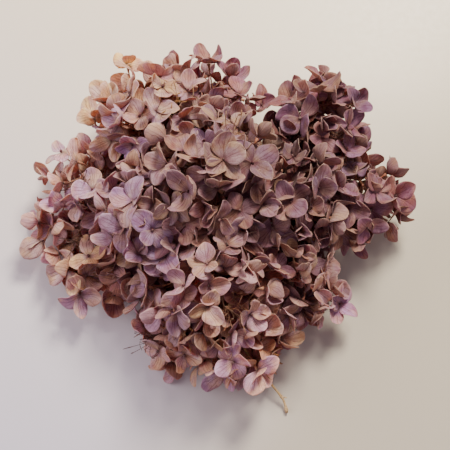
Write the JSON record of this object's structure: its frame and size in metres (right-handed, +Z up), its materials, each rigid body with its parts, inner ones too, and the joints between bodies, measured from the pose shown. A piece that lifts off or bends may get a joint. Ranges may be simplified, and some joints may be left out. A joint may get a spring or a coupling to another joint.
{
  "type": "dried hydrangea head",
  "caption": "Cut and dried mophead hydrangea lying flower side up: dusty mauve papery florets in a broad lobed mound on thin branching stems.",
  "frame": {"origin": "bottom centre of the head's bounding box, on the surface that it lies on", "axes": "+X along the head's longest extent, to the right as it is seen from the front; +Z up, out of the crown"},
  "size_m": [0.2376, 0.2184, 0.097],
  "materials": {
    "mauve_sepal": "dry, papery, finely veined",
    "rose_sepal": "dry, papery, finely veined",
    "lilac_sepal": "dry, papery, finely veined",
    "cream_sepal": "dry, papery, finely veined",
    "tan_sepal": "dry, papery, finely veined",
    "stem": "dry dark brown stem, matt"
  },
  "bodies": {
    "root": {"bare_twig": "stem", "crown_branch": "stem", "crown_cyme_1": "mauve_sepal", "crown_cyme_2": "mauve_sepal", "crown_cyme_3": "mauve_sepal", "crown_cyme_4": "mauve_sepal", "far_left_branch": "stem", "far_left_cyme_1": "lilac_sepal", "foot_branch": "stem", "foot_cyme_1": "tan_sepal", "foot_cyme_2": "tan_sepal", "foot_cyme_3": "tan_sepal", "foot_left_branch": "stem", "foot_left_cyme_1": "tan_sepal", "front_branch": "stem", "front_cyme_1": "mauve_sepal", "front_cyme_2": "mauve_sepal", "front_cyme_3": "mauve_sepal", "front_cyme_4": "mauve_sepal", "front_left_branch": "stem", "front_left_cyme_1": "tan_sepal", "front_left_cyme_2": "tan_sepal", "front_right_branch": "stem", "front_right_cyme_1": "rose_sepal", "front_right_cyme_2": "rose_sepal", "front_right_cyme_3": "rose_sepal", "left_branch": "stem", "left_cyme_1": "lilac_sepal", "left_cyme_2": "lilac_sepal", "low_left_branch": "stem", "low_left_cyme_1": "lilac_sepal", "mid_left_branch": "stem", "mid_left_cyme_1": "mauve_sepal", "mid_left_cyme_2": "mauve_sepal", "mid_right_branch": "stem", "mid_right_cyme_1": "mauve_sepal", "mid_right_cyme_2": "mauve_sepal", "mid_right_cyme_3": "mauve_sepal", "right_branch": "stem", "right_cyme_1": "mauve_sepal", "right_cyme_2": "mauve_sepal", "right_cyme_3": "mauve_sepal", "stalk": "stem", "top_branch": "stem", "top_cyme_1": "rose_sepal", "top_cyme_2": "rose_sepal", "top_cyme_3": "rose_sepal", "upper_left_branch": "stem", "upper_left_cyme_1": "cream_sepal", "upper_left_cyme_2": "cream_sepal", "upper_left_cyme_3": "cream_sepal", "upper_left_cyme_4": "cream_sepal", "upper_right_branch": "stem", "upper_right_cyme_1": "rose_sepal", "upper_right_cyme_2": "rose_sepal", "upper_right_cyme_3": "rose_sepal"}
  },
  "joints": []
}
